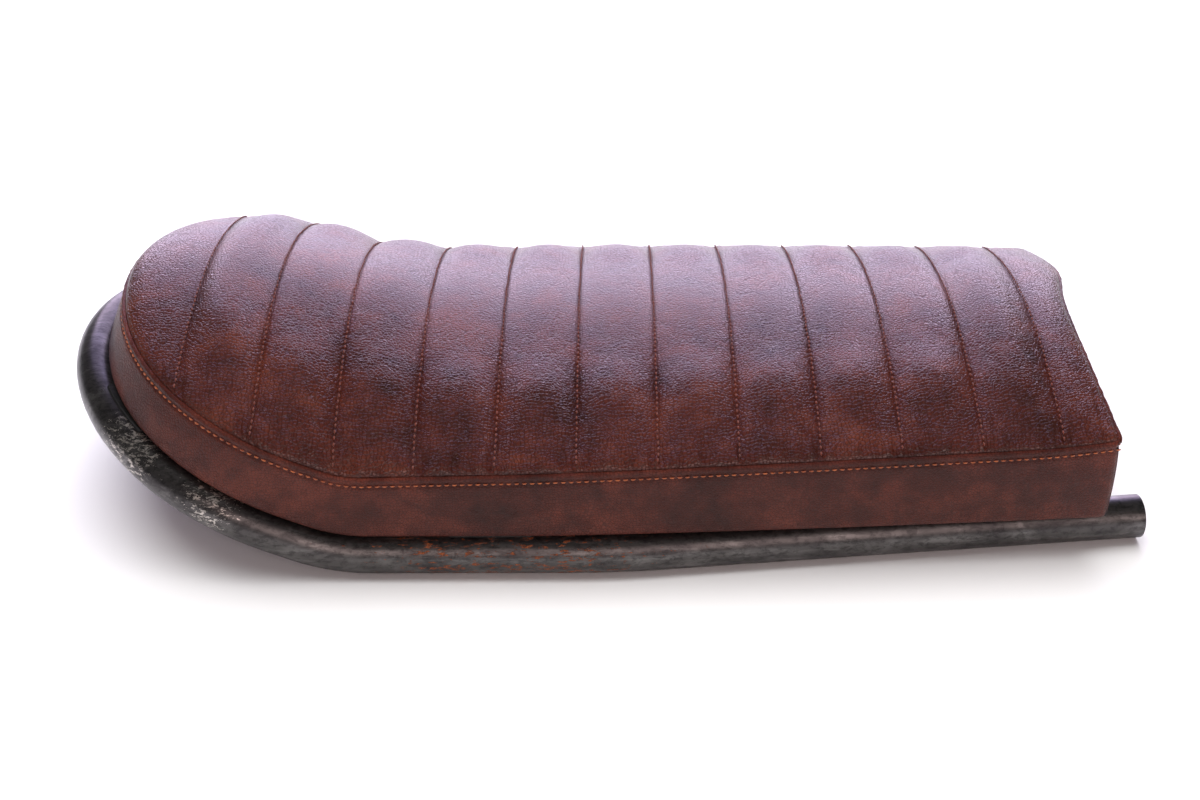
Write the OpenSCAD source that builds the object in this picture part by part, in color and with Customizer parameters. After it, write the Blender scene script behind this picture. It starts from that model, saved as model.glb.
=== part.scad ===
// Motorcycle seat with a hoop rail: a quilted leather cushion on a steel pan,
// bolted through rubber grommets to four tabs inside a bent, raw steel hoop.
// Frame: +X to the front of the machine, +Y to the left, +Z up. The origin is
// under the middle of the seat, on the plane that the flat rails rest on.

/* [Hoop] */
// Outer diameter of the hoop tube
tube_od = 22; // [19:0.5:24]
// Wall thickness of the hoop tube
tube_wall = 2; // [1.5:0.1:3]
// Centre to centre width of the hoop at the rear
hoop_w = 225; // [215:1:235]
// Angle by which each rail converges to the front
taper = 6.1019; // [5:0.0001:7]
// Centreline radius of the gentle plan bend where the rails converge
kink_radius = 400; // [300:10:500]
// Length of each converging rail ahead of its plan bend
front_run = 246.5; // [230:0.5:260]
// Length of the level run between the plan bend and the upturn bend
level_run = 97.4; // [90:0.1:105]
// Angle by which the tail turns up
kick_angle = 23.8549; // [20:0.0001:26]
// Centreline radius of the upturn bend
kick_radius = 90; // [85:1:95]
// Length of the short straight run behind the upturn bend
tail_run = 13.5; // [10:0.5:20]

/* [Cushion] */
// Half width of the cushion over its middle
seat_half_w = 120; // [110:1:130]
// Half width of the cushion at its front face
seat_front_half_w = 105; // [95:1:112]
// Gap between the front face of the cushion and the front ends of the rails
front_setback = 21.5; // [5:0.5:60]
// Length of the rounded tail, from the widest part to the tip
tail_length = 113; // [100:1:125]
// Distance of the tail's widest part behind the upturn bend
tail_start = 10.5; // [5:0.5:20]
// How far the middle of the front face is hollowed back
front_hollow = 6.5; // [0:0.5:12]
// Height of the top seam above the tube centre, at the widest part of the rails
seam_height = 51; // [48:0.1:60]
// Rise of the top seam per millimetre towards the front
seam_slope = 0.022; // [0:0.001:0.04]
// Height of the crown above the tube centre, along the flat rails
crown_height = 78; // [74:0.5:90]
// How far the crown rolls down to the front edge, over the first channel
front_roll = 4; // [0:0.5:8]
// Slope of the crown line over the tail, in degrees
crown_angle = 12.9; // [8:0.1:16]
// Fullness of each sewn channel above its stitch lines
channel_rise = 3; // [1:0.1:4]
// Spacing of the stitch lines along the crown
stitch_pitch = 39; // [36:0.5:42]
// Distance from the front edge back to the first stitch line
first_stitch = 28; // [24:0.5:35]
// Thickness of the leather
leather_t = 1.5; // [1:0.1:2]
// Width of the leather hem turned under the pan
hem_w = 22; // [18:1:30]

/* [Pan and mounting] */
// Thickness of the steel pan
pan_t = 2; // [1.5:0.1:3]
// Gap between the rails and the hem, filled by the rail pads
pad_gap = 1.5; // [1:0.1:3]
// Distance of the front studs ahead of the plan kink
front_stud_x = 150; // [120:1:180]
// Distance of the rear studs behind the plan kink
rear_stud_x = 75; // [60:1:85]
// Distance of each stud inside its rail's centreline
stud_offset = 30; // [26:1:34]
// Thickness of the welded tabs
tab_t = 3; // [2:0.5:4]
// Width of the welded tabs
tab_w = 32; // [26:1:36]
// Diameter of the pan studs
stud_d = 6; // [5:1:8]

/* [Hidden] */
$fn = 64;

tube_r = tube_od / 2;
bore_r = tube_r - tube_wall;
half_w = hoop_w / 2;

// Stations along the hoop, + to the front; the converging rails' lines start at kink_s
kink_start_s = -21.5;
kink_s = kink_start_s + kink_radius * tan(taper / 2);
bend_s = kink_start_s - level_run;
bend_end_s = bend_s - kick_radius * kick_angle * PI / 180;
front_s = kink_start_s + kink_radius * sin(taper) + front_run * cos(taper);
seat_front_s = front_s - front_setback;
tail_s = bend_end_s - tail_start;
tip_s = tail_s - tail_length;

// The kink's place in the part's frame, which centres the whole length on the origin
x_front = front_s + tube_r * sin(taper);
x_rear = bend_s - kick_radius * sin(kick_angle) - (tail_run + half_w) * cos(kick_angle) - tube_r;
kink_x = -(x_front + x_rear) / 2;
rail_z = tube_r;

// Heights above the tube centre plane
hem_low = tube_r + pad_gap;
pan_low = hem_low + leather_t;
pan_top = pan_low + pan_t;
core_top = 34;
tab_top = 8;
sleeve_low = 2;

// Clearances and small stock
skin_gap = 0.2;
foam_inset = leather_t + 0.9;
trim_t = 1.5;
trim_w = 4.5;
trim_top = pan_top + 2;
panel_t = 1.4;
padding_t = 5;
washer_t = 1.6;
nut_h = 6;
plate_size = 40;
plate_t = 2;
rivet_r = 1.6;
rivet_head_r = 3;
rivet_head_t = 1;
rivet_spread = 15;
thread_r = 0.5;
stitch_count = 12;
tall = 200;

// ---- Shape functions ----

// Half width of the cushion at a station, with an inset
function taper_share(s) = max(0, (s + 40) / (seat_front_s + 40));
function side_half(s) = seat_half_w - (seat_half_w - seat_front_half_w) * pow(taper_share(s), 1.3);
function tail_half(s, inset) =
    (seat_half_w - inset) * pow(max(0, 1 - pow(min(1, (tail_s - s) / (tail_length - inset)), 2.1)), 1 / 2.1);
function half_at(s, inset = 0) = s > tail_s ? side_half(s) - inset : tail_half(s, inset);

// Height of the top seam above the tube centre plane
function seam_h(s) = seam_height + seam_slope * s;

// A point at station s and height h, as [x, z] in the part's frame
function bend_angle(s) = min(kick_angle, max(0, (bend_s - s) / kick_radius * 180 / PI));
function base_x(s) = s > bend_s ? s
    : s > bend_end_s ? bend_s - kick_radius * sin(bend_angle(s))
    : bend_s - kick_radius * sin(kick_angle) - (bend_end_s - s) * cos(kick_angle);
function base_z(s) = s > bend_s ? 0
    : s > bend_end_s ? kick_radius * (1 - cos(bend_angle(s)))
    : kick_radius * (1 - cos(kick_angle)) + (bend_end_s - s) * sin(kick_angle);
function place(s, h) = [kink_x + base_x(s) + h * sin(bend_angle(s)),
                        rail_z + base_z(s) + h * cos(bend_angle(s))];

// Crown line: rolled down at the front, level over the rails, then a wide bend up to a straight slope
crown_bend_x = kink_x - 78;
crown_bend_r = 250;
crown_reach = crown_bend_r * tan(crown_angle / 2);
// Distance over which the crown rolls down to the front edge
front_roll_run = 30;
function front_fall(x) = front_roll * pow(max(0, 1 - (kink_x + seat_front_s - x) / front_roll_run), 2);
function crown_z(x) = let (d = crown_bend_x + crown_reach - x)
    rail_z + crown_height - front_fall(x) + (d <= 0 ? 0
    : d < crown_reach * (1 + cos(crown_angle)) ? crown_bend_r - sqrt(crown_bend_r * crown_bend_r - d * d)
    : (d - crown_reach) * tan(crown_angle));

// The hollow front edge, from 1 at the sides to 0 along the middle
function front_edge(v) = seat_front_s - front_hollow * (1 - v * v);

// Height of the smooth cover over station s, at v from -1 at the right seam to 1 at the left.
// Behind the last stitch line the crown runs down to meet the seam at the tip.
function tip_share(s) = min(1, max(0, (s - tip_s) / 70));
function cover_z(s, v) = let (p = place(s, seam_h(s)), rise = crown_z(p[0]) - p[1])
    p[1] + rise * (1 - v * v) * pow(tip_share(s), 0.5);

// Stitch lines, evenly spaced along the crown line: x of line i, counted from the front
level_lines = 8;
function stitch_x(i) = kink_x + seat_front_s - first_stitch - stitch_pitch * min(i, level_lines)
    - stitch_pitch * cos(crown_angle) * max(0, i - level_lines);

// Station whose seam lies at x, in the level part and in the upturned tail
function seam_station(x) = x > kink_x + bend_s ? x - kink_x
    : let (h = seam_h(-200),
           back = (place(bend_end_s, h)[0] - x) / cos(kick_angle))
      bend_end_s - back;

// Stations of the top grid: each stitch line with three rings to every channel between
channel_share = [0, 0.16, 0.5, 0.84];
channel_full = [0, 0.75, 1, 0.75];
grid_x = [for (i = [-1 : stitch_count - 1]) for (k = [0 : 3])
    let (ahead = i < 0 ? kink_x + seat_front_s : stitch_x(i),
         behind = i + 1 < stitch_count ? stitch_x(i + 1) : stitch_x(i) - 30)
    [ahead + (behind - ahead) * channel_share[k], channel_full[k]]];
tail_rings = [0.80, 0.90, 0.96, 0.995];
function grid_stations(inset) = concat(
    [for (g = grid_x) if (seam_station(g[0]) > tail_s - 0.75 * tail_length) [seam_station(g[0]), g[1]]],
    [for (t = tail_rings) [tail_s - t * (tail_length - inset), 1 - t * t]]);
grid_v = [-1, -0.96, -0.88, -0.72, -0.5, -0.25, 0, 0.25, 0.5, 0.72, 0.88, 0.96, 1];

// ---- Building blocks ----

// Plan outline of the level part, which ends in the hollow front edge
module level_outline(inset) {
    stations = [for (i = [0 : 12]) bend_s + (seat_front_s - inset - bend_s) * i / 12];
    right = [for (s = stations) [s, -half_at(s, inset)]];
    left = [for (i = [12 : -1 : 0]) [stations[i], half_at(stations[i], inset)]];
    middle = [for (i = [-5 : 5]) [front_edge(i / 6) - inset, half_at(seat_front_s, inset) * i / 6]];
    polygon(concat(right, middle, left));
}
// Plan outline of the upturned part, which ends in the rounded tip
module tail_outline(inset) {
    reach = tail_length - inset;
    angles = [for (i = [0 : 24]) 90 * i / 24];
    ring = [for (a = angles) let (s = tail_s - reach * sin(a)) [s, tail_half(s, inset)]];
    start = bend_end_s;
    half = half_at(start, inset);
    right = [for (i = [23 : -1 : 0]) [ring[i][0], -ring[i][1]]];
    polygon(concat([[start, half]], ring, right, [[start, -half]]));
}

// Carries a shape drawn on the flat base, at stations, into the upturned tail
module on_rails() {
    translate([kink_x, 0, rail_z]) children();
}
module behind_bend() {
    on_rails() translate([bend_s, 0, kick_radius]) rotate([0, kick_angle, 0])
        translate([0, 0, -kick_radius]) children();
}
module in_tail() {
    behind_bend() translate([-bend_end_s, 0, 0]) children();
}
// Sweeps a section drawn as [outwards from the bend's axis, sideways] round the upturn bend
module round_bend() {
    on_rails() translate([bend_s, 0, kick_radius]) rotate([-90, 90, 0])
        rotate_extrude(angle = kick_angle) children();
}

// Side view of a layer from height low to high, both able to slope along the seat
module side_view(s0, s1, low, high, low_slope, high_slope) {
    rotate([90, 0, 0]) linear_extrude(2 * tall, center = true)
        polygon([[s0, low + low_slope * s0], [s1, low + low_slope * s1],
                 [s1, high + high_slope * s1], [s0, high + high_slope * s0]]);
}

// A layer that follows the pan: level, round the upturn bend and up the tail
module layer(inset, low, high, low_slope = 0, high_slope = 0) {
    on_rails() intersection() {
        linear_extrude(tall) level_outline(inset);
        side_view(bend_s, front_s, low, high, low_slope, high_slope);
    }
    mid = (bend_s + bend_end_s) / 2;
    bend_low = low + low_slope * mid;
    bend_high = high + high_slope * mid;
    half = half_at(bend_s, inset);
    round_bend() translate([kick_radius - bend_high, -half]) square([bend_high - bend_low, 2 * half]);
    in_tail() intersection() {
        linear_extrude(tall) tail_outline(inset);
        side_view(tip_s - 1, bend_end_s, low, high, low_slope, high_slope);
    }
}

// Closed sheet over the top grid, between two heights below the cover
function ring_points(s, full, inset, drop, relief) = [for (v = grid_v)
    let (p = place(s, seam_h(s)),
         near_front = max(0, 1 - (seat_front_s - s) / 30),
         x = p[0] - near_front * (front_hollow * (1 - v * v) + inset),
         bulge = relief * channel_rise * full * (1 - pow(v, 6)))
    [x, v * half_at(s, inset), cover_z(s, v) + bulge - drop]];
module cover_sheet(inset, top_drop, low_drop, relief, level_base = false) {
    stations = grid_stations(inset);
    rows = len(stations);
    cols = len(grid_v);
    top = [for (g = stations) each ring_points(g[0], g[1], inset, top_drop, relief)];
    low = level_base
        ? [for (g = stations) for (v = grid_v)
            let (p = place(g[0], low_drop), near_front = max(0, 1 - (seat_front_s - g[0]) / 30))
            [p[0] - near_front * (front_hollow * (1 - v * v) + inset), v * half_at(g[0], inset), p[1]]]
        : [for (g = stations) each ring_points(g[0], g[1], inset, low_drop, 0)];
    n = rows * cols;
    faces_top = [for (r = [0 : rows - 2]) for (c = [0 : cols - 2])
        let (a = r * cols + c) each [[a, a + 1, a + cols + 1], [a, a + cols + 1, a + cols]]];
    faces_low = [for (f = faces_top) [f[0] + n, f[2] + n, f[1] + n]];
    last = (rows - 1) * cols;
    ends = [for (c = [0 : cols - 2]) each
        [[c, c + n, c + n + 1], [c, c + n + 1, c + 1],
         [last + c, last + c + 1, last + c + n + 1], [last + c, last + c + n + 1, last + c + n]]];
    sides = [for (r = [0 : rows - 2])
        let (a = r * cols, b = a + cols, e = a + cols - 1, f = b + cols - 1) each
        [[a, b, b + n], [a, b + n, a + n], [e, e + n, f + n], [e, f + n, f]]];
    polyhedron(concat(top, low), concat(faces_top, faces_low, ends, sides));
}

// Places children in a rail's own frame: origin on its centreline, X along it, Y inwards
module at_rail(s, side) {
    ahead = s > 0;
    y = ahead ? half_w - (s - kink_s) * tan(taper) : half_w;
    translate([kink_x + s, side * y, rail_z]) rotate([0, 0, ahead ? -side * taper : 0])
        mirror([0, side > 0 ? 1 : 0, 0]) children();
}
module at_each_stud() {
    for (side = [-1, 1]) {
        at_rail(front_stud_x, side) translate([0, stud_offset, 0]) children();
        at_rail(-rear_stud_x, side) translate([0, stud_offset, 0]) children();
    }
}
module disc(r, low, high) {
    translate([0, 0, low]) cylinder(r = r, h = high - low);
}
module washer(r, hole_r, low, high) {
    difference() {
        disc(r, low, high);
        disc(hole_r, low - 1, high + 1);
    }
}

// ---- Hoop and its tabs ----

module tube_ring() {
    difference() {
        circle(r = tube_r);
        circle(r = bore_r);
    }
}
module tube_run(length) {
    rotate([0, 90, 0]) linear_extrude(length) tube_ring();
}
module kink_centre() {
    on_rails() translate([kink_start_s, half_w - kink_radius, 0]) children();
}
module half_hoop() {
    // Converging front run
    kink_centre() rotate([0, 0, -taper]) translate([0, kink_radius, 0]) tube_run(front_run);
    // Plan bend
    kink_centre() rotate([0, 0, 90]) mirror([0, 1, 0])
        rotate_extrude(angle = taper) translate([kink_radius, 0]) rotate(-90) tube_ring();
    // Level run
    on_rails() translate([bend_s, half_w, 0]) tube_run(level_run);
    // Upturn bend
    round_bend() translate([kick_radius, half_w]) tube_ring();
    // Short run behind the upturn bend
    behind_bend() translate([-tail_run, half_w, 0]) tube_run(tail_run);
}
module hoop_tube() {
    color("dimgray") union() {
        half_hoop();
        mirror([0, 1, 0]) half_hoop();
        behind_bend() translate([-tail_run, 0, 0])
            rotate_extrude(angle = 180, start = 90) translate([half_w, 0]) rotate(-90) tube_ring();
    }
}

grommet_hole_r = 7;
module tab_blank() {
    translate([-tab_w / 2, 0, tab_top - tab_t]) cube([tab_w, stud_offset, tab_t]);
    translate([0, stud_offset, tab_top - tab_t]) cylinder(r = tab_w / 2, h = tab_t);
}
module rail_solid() {
    translate([-tab_w, 0, 0]) rotate([0, 90, 0]) cylinder(r = tube_r, h = 2 * tab_w);
}
module tab(s, side) {
    at_rail(s, side) difference() {
        tab_blank();
        rail_solid();
        translate([0, stud_offset, 0]) cylinder(r = grommet_hole_r, h = tall);
    }
}
module front_left_tab() { color("dimgray") tab(front_stud_x, 1); }
module front_right_tab() { color("dimgray") tab(front_stud_x, -1); }
module rear_left_tab() { color("dimgray") tab(-rear_stud_x, 1); }
module rear_right_tab() { color("dimgray") tab(-rear_stud_x, -1); }

// One fillet above and one below each tab, along its joint with the rail
weld_r = 2.5;
module weld_pair() {
    low = tab_top - tab_t;
    upper_y = sqrt(tube_r * tube_r - tab_top * tab_top);
    lower_y = sqrt(tube_r * tube_r - low * low);
    difference() {
        union() {
            translate([-tab_w / 2, upper_y + 1, tab_top]) rotate([0, 90, 0]) cylinder(r = weld_r, h = tab_w);
            translate([-tab_w / 2, lower_y + 0.6, low]) rotate([0, 90, 0]) cylinder(r = weld_r, h = tab_w);
        }
        rail_solid();
        translate([-tab_w, 0, low]) cube([2 * tab_w, stud_offset, tab_t]);
    }
}
module tab_welds() {
    color("slategray") for (side = [-1, 1]) {
        at_rail(front_stud_x, side) weld_pair();
        at_rail(-rear_stud_x, side) weld_pair();
    }
}

// ---- Stud hardware ----

grommet_flange_r = 11;
grommet_bore_r = 4;
module tab_grommets() {
    color("#202020") at_each_stud() difference() {
        union() {
            disc(grommet_flange_r, tab_top, pan_low);
            disc(grommet_hole_r, tab_top - tab_t, tab_top);
            disc(grommet_flange_r, sleeve_low, tab_top - tab_t);
        }
        disc(grommet_bore_r, sleeve_low - 1, pan_low + 1);
    }
}
module spacer_sleeves() {
    color("silver") at_each_stud() washer(grommet_bore_r, stud_d / 2 + 0.2, sleeve_low, pan_low);
}
module stud_washers() {
    color("silver") at_each_stud() washer(9, stud_d / 2 + 0.2, sleeve_low - washer_t, sleeve_low);
}
module stud_nuts() {
    top = sleeve_low - washer_t;
    color("gainsboro") at_each_stud() difference() {
        intersection() {
            translate([0, 0, top - nut_h]) cylinder(r = 5 / cos(30), h = nut_h, $fn = 6);
            disc(5.6, top - nut_h, top);
        }
        disc(stud_d / 2, top - nut_h - 1, top + 1);
    }
}
module pan_studs() {
    color("silver") at_each_stud() disc(stud_d / 2, -8, pan_top + plate_t);
}
module at_plate_rivets() {
    at_each_stud() for (x = [-1, 1]) for (y = [-1, 1])
        translate([x * rivet_spread, y * rivet_spread, 0]) children();
}
module plate_blank(size, low, high) {
    translate([-size / 2, -size / 2, low]) cube([size, size, high - low]);
}
module stud_plates() {
    color("silver") difference() {
        at_each_stud() plate_blank(plate_size, pan_top, pan_top + plate_t);
        at_each_stud() disc(stud_d / 2, pan_top - 1, pan_top + plate_t + 1);
        at_plate_rivets() disc(rivet_r, pan_top - 1, pan_top + plate_t + 1);
    }
}
module rivet(low, high) {
    disc(rivet_r, low, high);
    disc(rivet_head_r, low - rivet_head_t, low);
    disc(rivet_head_r - 0.5, high, high + rivet_head_t);
}
module plate_rivets() {
    color("gainsboro") at_plate_rivets() rivet(pan_low, pan_top + plate_t);
}

// ---- Pan ----

vent_r = 6;
module at_vents() {
    for (s = [200, 110, 40, -40]) on_rails() translate([s, 0, 0]) children();
    in_tail() translate([tail_s - 20, 0, 0]) children();
}

// Hem rivets: along each side, across the front and round the tail
hem_rivet_inset = 14;
side_rivet_s = [225, 185, 105, 55, 5, -35, -110];
tail_rivet_angles = [-76, -60, -22, 22, 60, 76];
module at_hem_rivets() {
    for (side = [-1, 1]) for (s = side_rivet_s) {
        on_rails() translate([s, side * half_at(s, hem_rivet_inset), 0]) children();
    }
    for (y = [-60, -20, 20, 60])
        on_rails() translate([front_edge(y / seat_front_half_w) - hem_rivet_inset, y, 0]) children();
    for (a = tail_rivet_angles) {
        reach = tail_length - hem_rivet_inset;
        s = tail_s - reach * cos(a);
        in_tail() translate([s, sign(a) * tail_half(s, hem_rivet_inset), 0]) children();
    }
}
module seat_pan() {
    color("#2a2a2c") difference() {
        layer(leather_t + trim_t + 0.1, pan_low, pan_top);
        at_each_stud() disc(stud_d / 2, pan_low - 1, pan_top + 1);
        at_plate_rivets() disc(rivet_r, pan_low - 1, pan_top + 1);
        at_hem_rivets() disc(rivet_r, pan_low - 1, pan_top + 1);
        at_vents() disc(vent_r, pan_low - 1, pan_top + 1);
    }
}

// Rubber strip that covers the edge of the pan, outside it and above it
module pan_edge_trim() {
    color("#1c1c1c") difference() {
        layer(leather_t + 0.1, pan_low, trim_top);
        layer(leather_t + trim_w, pan_low - 1, trim_top + 1);
        layer(leather_t + trim_t + 0.1, pan_low - 1, pan_top);
    }
}

// Saddle pads between the rails and the hem, set towards the inner side of the rails
pad_outer = 3;
pad_inner = 9;
pad_length = 40;
module pad_section() {
    difference() {
        translate([-pad_outer, 7]) square([pad_outer + pad_inner, hem_low - 7]);
        circle(r = tube_r);
    }
}
module rail_pads() {
    color("#202020") union() {
        for (side = [-1, 1]) for (s = [205, 80, -60])
            at_rail(s, side) translate([-pad_length / 2, 0, 0]) rotate([90, 0, 90])
                linear_extrude(pad_length) pad_section();
        for (a = [-49, 31])
            behind_bend() translate([-tail_run, 0, 0])
                rotate_extrude(angle = 18, start = 180 + a)
                    translate([half_w, 0]) mirror([1, 0]) pad_section();
    }
}

// ---- Foam ----

module foam_core() {
    color("khaki") difference() {
        layer(foam_inset, pan_top, core_top);
        difference() {
            layer(0, pan_top - 1, trim_top);
            layer(leather_t + trim_w + 0.1, pan_top - 2, trim_top + 1);
        }
        at_each_stud() plate_blank(plate_size + 1, pan_top - 1, pan_top + plate_t + rivet_head_t + 0.5);
        at_hem_rivets() disc(rivet_head_r, pan_top - 1, pan_top + rivet_head_t + 0.5);
    }
}
module comfort_foam() {
    color("lemonchiffon")
        cover_sheet(foam_inset, panel_t + padding_t + 2 * skin_gap, core_top + skin_gap, 0,
                    level_base = true);
}
module quilt_padding() {
    color("whitesmoke") cover_sheet(foam_inset, panel_t + skin_gap, panel_t + padding_t + skin_gap, 0);
}

// ---- Leather cover ----

module top_panel() {
    color("#5b3a38") cover_sheet(0, 0, panel_t, 1);
}
band_drop = panel_t + skin_gap;
module band_shell() {
    difference() {
        layer(0, hem_low, seam_height - band_drop, 0, seam_slope);
        layer(leather_t, pan_low, tall / 2 - 30);
        layer(leather_t + hem_w, hem_low - 1, pan_low + 1);
        at_hem_rivets() disc(rivet_r, hem_low - 1, pan_low + 1);
    }
}
module front_zone() {
    zone_y = seat_front_half_w - leather_t - 0.2;
    on_rails() translate([seat_front_s - hem_w - leather_t - front_hollow, -zone_y, 0])
        cube([2 * hem_w, 2 * zone_y, tall]);
}
module side_band() {
    color("#5a3531") difference() {
        band_shell();
        front_zone();
    }
}
// The front band stands up to the crown: its top edge is an arc from seam to seam
module front_band() {
    crown = crown_height - front_roll;
    rise = rail_z + crown - place(seat_front_s, seam_h(seat_front_s))[1];
    arc_r = (pow(seat_front_half_w, 2) + rise * rise) / (2 * rise);
    color("#5a3531") {
        intersection() {
            band_shell();
            front_zone();
        }
        intersection() {
            difference() {
                layer(0, seam_height - 3, tall / 2 - 30, seam_slope, 0);
                layer(leather_t, 0, tall / 2 - 20);
            }
            front_zone();
            translate([0, 0, rail_z + crown - band_drop - arc_r])
                rotate([0, 90, 0]) cylinder(r = arc_r, h = tall * 2, $fn = 360);
        }
    }
}

// Woven tape inside the top of the bands, behind the seam
tape_w = 12;
tape_t = 0.5;
module seam_tape() {
    high = seam_height - band_drop - 1;
    color("black") difference() {
        layer(leather_t + 0.1, high - tape_w, high, seam_slope, seam_slope);
        layer(leather_t + 0.1 + tape_t, 0, tall / 2 - 30);
    }
}
module hem_rivets() {
    color("gainsboro") at_hem_rivets() {
        disc(rivet_r, hem_low, pan_top);
        disc(rivet_head_r, hem_low - rivet_head_t, hem_low);
        disc(rivet_head_r - 0.5, pan_top, pan_top + rivet_head_t);
    }
}

// ---- Thread ----

// One row of thread lies in each groove, a circular arc from seam to seam
module channel_stitching() {
    color("#b4552d") for (i = [0 : stitch_count - 1]) {
        x = stitch_x(i);
        s = seam_station(x);
        w = half_at(s) - 4;
        low = place(s, seam_h(s))[1];
        rise = cover_z(s, 0) - low;
        full = half_at(s);
        r = (full * full + rise * rise) / (2 * rise);
        a = asin(w / r);
        translate([x, 0, low + rise - r]) rotate([90, 0, 90])
            rotate_extrude(angle = 2 * a, start = 90 - a, $fn = 180)
                translate([r + thread_r + 0.1, 0]) circle(r = thread_r, $fn = 16);
    }
}

// The row sewn through the bands, just under the seam
edge_drop = 5;
module edge_stitching() {
    high = seam_height - edge_drop;
    color("#c05a2c") difference() {
        layer(-2 * thread_r, high - 2 * thread_r, high, seam_slope, seam_slope);
        layer(0, 0, tall / 2 - 30);
    }
}

hoop_tube();
front_left_tab();
front_right_tab();
rear_left_tab();
rear_right_tab();
tab_welds();
tab_grommets();
spacer_sleeves();
stud_washers();
stud_nuts();
pan_studs();
stud_plates();
plate_rivets();
seat_pan();
pan_edge_trim();
rail_pads();
foam_core();
comfort_foam();
quilt_padding();
top_panel();
side_band();
front_band();
seam_tape();
hem_rivets();
channel_stitching();
edge_stitching();
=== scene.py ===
"""Motorcycle seat with a hoop rail: the visual model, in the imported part's own frame.

Lengths are in millimetres and in the part's frame; MM turns them into metres when a
mesh is made. The shape functions repeat the ones that the CAD source is built from.
"""
import math
import random

import bpy
import numpy as np
from mathutils import Matrix, Vector, noise


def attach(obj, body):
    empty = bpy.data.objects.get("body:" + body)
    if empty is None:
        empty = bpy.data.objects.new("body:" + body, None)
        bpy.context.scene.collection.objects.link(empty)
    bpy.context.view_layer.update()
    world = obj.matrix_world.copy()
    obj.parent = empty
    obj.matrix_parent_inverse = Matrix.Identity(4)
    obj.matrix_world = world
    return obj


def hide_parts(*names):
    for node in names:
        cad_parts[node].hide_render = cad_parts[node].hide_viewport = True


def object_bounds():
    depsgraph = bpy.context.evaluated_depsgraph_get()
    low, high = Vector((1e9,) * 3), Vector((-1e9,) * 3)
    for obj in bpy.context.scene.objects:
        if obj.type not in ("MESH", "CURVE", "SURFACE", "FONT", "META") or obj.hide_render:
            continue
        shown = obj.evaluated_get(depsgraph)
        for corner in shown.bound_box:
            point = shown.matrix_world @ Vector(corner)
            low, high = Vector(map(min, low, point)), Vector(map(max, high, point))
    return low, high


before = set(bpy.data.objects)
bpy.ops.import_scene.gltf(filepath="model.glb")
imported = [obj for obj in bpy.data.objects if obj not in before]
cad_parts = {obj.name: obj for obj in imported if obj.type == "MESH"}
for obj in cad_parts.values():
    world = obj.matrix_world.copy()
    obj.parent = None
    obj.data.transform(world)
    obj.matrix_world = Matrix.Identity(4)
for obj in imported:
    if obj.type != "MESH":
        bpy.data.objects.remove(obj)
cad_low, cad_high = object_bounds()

MM = 0.001
RNG = random.Random(7)

# ---- The part's own dimensions ----

# A station S runs along the rails' bent middle line; heights are square to that line
RAIL_Z = 11.0
KINK_X = 7.1213
KICK = math.radians(23.8549)
KICK_R = 90.0
BEND_S = -118.9
BEND_END_S = BEND_S - KICK_R * KICK
SEAT_FRONT_S = 244.62
TAIL_LENGTH = 113.0
TAIL_S = BEND_END_S - 10.5
TIP_S = TAIL_S - TAIL_LENGTH
TAIL_POWER = 2.1
HALF_W = 120.0
FRONT_HALF_W = 105.0
WIDEST_S = -40.0
SIDE_POWER = 1.3
SEAM_H = 51.0
SEAM_SLOPE = 0.022
CROWN_H = 78.0
FRONT_ROLL = 4.0
FRONT_ROLL_RUN = 30.0
CROWN_ANGLE = math.radians(12.9)
CROWN_BEND_X = KINK_X - 78
CROWN_R = 250.0
CROWN_REACH = CROWN_R * math.tan(CROWN_ANGLE / 2)
TIP_RUN = 70.0
STITCH_PITCH = 39.0
FIRST_STITCH = 28.0
STITCH_LINES = 12
LEVEL_LINES = 8

# ---- How the leather is drawn in and pulled at the front ----

# The front edge is hollow in its middle, and its left half swells forwards in a wave
FRONT_HOLLOW = 6.5
FRONT_WAVE = 8.0
WAVE_AT = 0.52
WAVE_WIDTH = 0.35
CORNER_PULL = 2.6
CORNER_RUN = 45.0
CORNER_R = 5.0


def bend_angle(s):
    """How far the rails have turned up at station s."""
    return np.clip((BEND_S - s) / KICK_R, 0, KICK)


def place(s, h):
    """X and Z of a point at station s along the rails and height h above their plane."""
    a = bend_angle(s)
    back = np.maximum(0, BEND_END_S - s)
    x = np.maximum(s, BEND_S) - KICK_R * np.sin(a) - back * math.cos(KICK)
    z = KICK_R * (1 - np.cos(a)) + back * math.sin(KICK)
    return KINK_X + x + h * np.sin(a), RAIL_Z + z + h * np.cos(a)


def half_width(s):
    """Half of the cushion's width, which narrows to the front and rounds off the tail."""
    share = np.clip((s - WIDEST_S) / (SEAT_FRONT_S - WIDEST_S), 0, None)
    side = HALF_W - (HALF_W - FRONT_HALF_W) * share ** SIDE_POWER
    behind = np.clip((TAIL_S - s) / TAIL_LENGTH, 0, 1)
    tail = HALF_W * (1 - behind ** TAIL_POWER) ** (1 / TAIL_POWER)
    return np.where(s > TAIL_S, side, tail)


def seam_height(s):
    """Height of the seam between top and bands over the rails' plane."""
    return SEAM_H + SEAM_SLOPE * s


def crown_z(x):
    """Height of the crown line: rolled down in front, level, then up a straight slope."""
    d = np.maximum(0, CROWN_BEND_X + CROWN_REACH - x)
    arc_end = CROWN_REACH * (1 + math.cos(CROWN_ANGLE))
    arc = CROWN_R - np.sqrt(np.maximum(0, CROWN_R ** 2 - np.minimum(d, arc_end) ** 2))
    rise = np.where(d < arc_end, arc, (d - CROWN_REACH) * math.tan(CROWN_ANGLE))
    ahead = np.clip(1 - (KINK_X + SEAT_FRONT_S - x) / FRONT_ROLL_RUN, 0, 1.5)
    return RAIL_Z + CROWN_H + rise - FRONT_ROLL * ahead ** 2


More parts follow.
